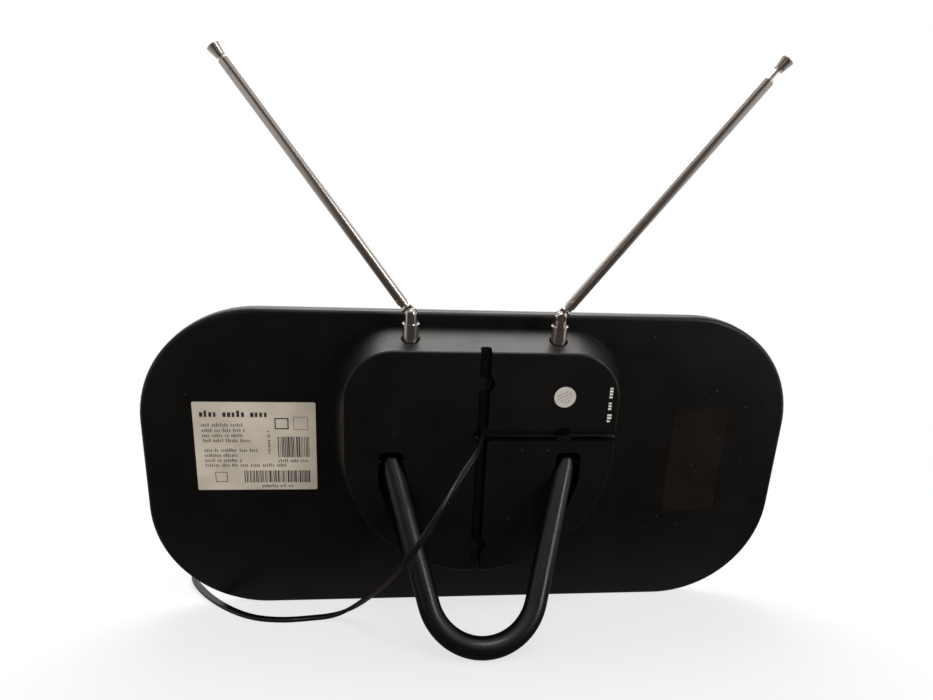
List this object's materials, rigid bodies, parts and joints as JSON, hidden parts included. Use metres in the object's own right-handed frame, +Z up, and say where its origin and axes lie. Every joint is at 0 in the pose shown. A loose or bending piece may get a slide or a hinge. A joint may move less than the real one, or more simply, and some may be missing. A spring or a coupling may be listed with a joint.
{
  "type": "flat indoor television antenna",
  "caption": "Flat black aerial panel leaning on a fold-out wire-shaped stand, with a rear amplifier housing, telescopic chrome rods and a coiled signal cord.",
  "frame": {"origin": "on the floor, under the middle of the antenna's outline without its cord", "axes": "+X to the right seen from behind, +Y from the rear housing towards the front face, +Z up"},
  "size_m": [0.315, 0.1827, 0.2551],
  "materials": {
    "cover_plastic": "fine satin grain",
    "front_plastic": "satin gloss",
    "stand_plastic": "smooth satin",
    "aluminium_sheet": "rolled sheet",
    "brass": "bare",
    "dark_steel": "blackened",
    "steel": "bare",
    "board_laminate": "green laminate",
    "tinned_steel": "tinned",
    "chrome": "bright plate",
    "nickel": "nickel plate",
    "label_paper": "semi-gloss sticker",
    "round_sticker_paper": "silvered sticker",
    "smoked_film": "smoked film",
    "cord_plastic": "smooth vinyl",
    "plug_plastic": "moulded vinyl",
    "tongue_plastic": "white insulator"
  },
  "bodies": {
    "panel": {"back_cover": "cover_plastic", "front_cover": "front_plastic", "left_sheet_aerial": "aluminium_sheet", "right_sheet_aerial": "aluminium_sheet", "feed_pins": "brass", "rear_housing": "cover_plastic", "housing_screws": "dark_steel", "amplifier_board": "board_laminate", "shield_can": "tinned_steel", "cord_relief": "cord_plastic", "left_stand_pin": "dark_steel", "right_stand_pin": "dark_steel", "rating_label": "label_paper", "film_patch": "smoked_film", "round_sticker": "round_sticker_paper", "signal_cord": "cord_plastic", "cord_coil": "cord_plastic", "cord_end": "cord_plastic", "cord_splitter": "plug_plastic", "coax_tail": "cord_plastic", "usb_tail": "cord_plastic", "coax_plug_grip": "plug_plastic", "coax_plug_ring": "nickel", "coax_plug_pin": "nickel", "usb_plug_grip": "plug_plastic", "usb_plug_shell": "nickel", "usb_plug_tongue": "tongue_plastic", "left_contact_lug": "brass", "right_contact_lug": "brass"},
    "stand": {"stand": "stand_plastic"},
    "left_post": {"left_post": "chrome", "left_hinge_screw": "chrome", "left_post_nut": "steel"},
    "left_rod": {"left_rod_root": "chrome", "left_tube_1": "chrome"},
    "left_section_2": {"left_tube_2": "chrome"},
    "left_section_3": {"left_tube_3": "chrome"},
    "left_section_4": {"left_tube_4": "chrome"},
    "left_tip": {"left_tip_rod": "chrome", "left_tip_cap": "chrome"},
    "right_post": {"right_post": "chrome", "right_hinge_screw": "chrome", "right_post_nut": "steel"},
    "right_rod": {"right_rod_root": "chrome", "right_tube_1": "chrome"},
    "right_section_2": {"right_tube_2": "chrome"},
    "right_section_3": {"right_tube_3": "chrome"},
    "right_section_4": {"right_tube_4": "chrome"},
    "right_tip": {"right_tip_rod": "chrome", "right_tip_cap": "chrome"}
  },
  "joints": [
    {"name": "stand_fold", "type": "hinge", "parent": "panel", "child": "stand", "pos_m": [0, 0.00615, 0.08019], "axis": [1, 0, 0], "range_deg": [0, 37]},
    {"name": "left_swivel", "type": "hinge", "parent": "panel", "child": "left_post", "pos_m": [-0.0334, -0.00355, 0.13066], "axis": [0, -0.274, 0.9617], "range_deg": [-82.3, 97.7]},
    {"name": "left_tilt", "type": "hinge", "parent": "left_post", "child": "left_rod", "pos_m": [-0.0334, -0.00876, 0.14894], "axis": [-0.134, -0.9531, -0.2715], "range_deg": [-37.5, 42.5]},
    {"name": "left_slide_1", "type": "slide", "parent": "left_rod", "child": "left_section_2", "axis": [-0.6033, -0.1389, 0.7853], "range_m": [0, 0.1003]},
    {"name": "left_slide_2", "type": "slide", "parent": "left_section_2", "child": "left_section_3", "axis": [-0.6033, -0.1389, 0.7853], "range_m": [0, 0.0987]},
    {"name": "left_slide_3", "type": "slide", "parent": "left_section_3", "child": "left_section_4", "axis": [-0.6033, -0.1389, 0.7853], "range_m": [0, 0.0971]},
    {"name": "left_slide_4", "type": "slide", "parent": "left_section_4", "child": "left_tip", "axis": [-0.6033, -0.1389, 0.7853], "range_m": [0, 0.0955]},
    {"name": "right_swivel", "type": "hinge", "parent": "panel", "child": "right_post", "pos_m": [0.034, -0.00355, 0.13066], "axis": [0, -0.274, 0.9617], "range_deg": [-83, 97]},
    {"name": "right_tilt", "type": "hinge", "parent": "right_post", "child": "right_rod", "pos_m": [0.034, -0.00876, 0.14894], "axis": [0.1219, 0.9546, 0.2719], "range_deg": [-36.1, 43.9]},
    {"name": "right_slide_1", "type": "slide", "parent": "right_rod", "child": "right_section_2", "axis": [0.5848, -0.2904, 0.7574], "range_m": [0, 0.1003]},
    {"name": "right_slide_2", "type": "slide", "parent": "right_section_2", "child": "right_section_3", "axis": [0.5848, -0.2904, 0.7574], "range_m": [0, 0.0987]},
    {"name": "right_slide_3", "type": "slide", "parent": "right_section_3", "child": "right_section_4", "axis": [0.5848, -0.2904, 0.7574], "range_m": [0, 0.0971]},
    {"name": "right_slide_4", "type": "slide", "parent": "right_section_4", "child": "right_tip", "axis": [0.5848, -0.2904, 0.7574], "range_m": [-0.004, 0.0915]}
  ]
}
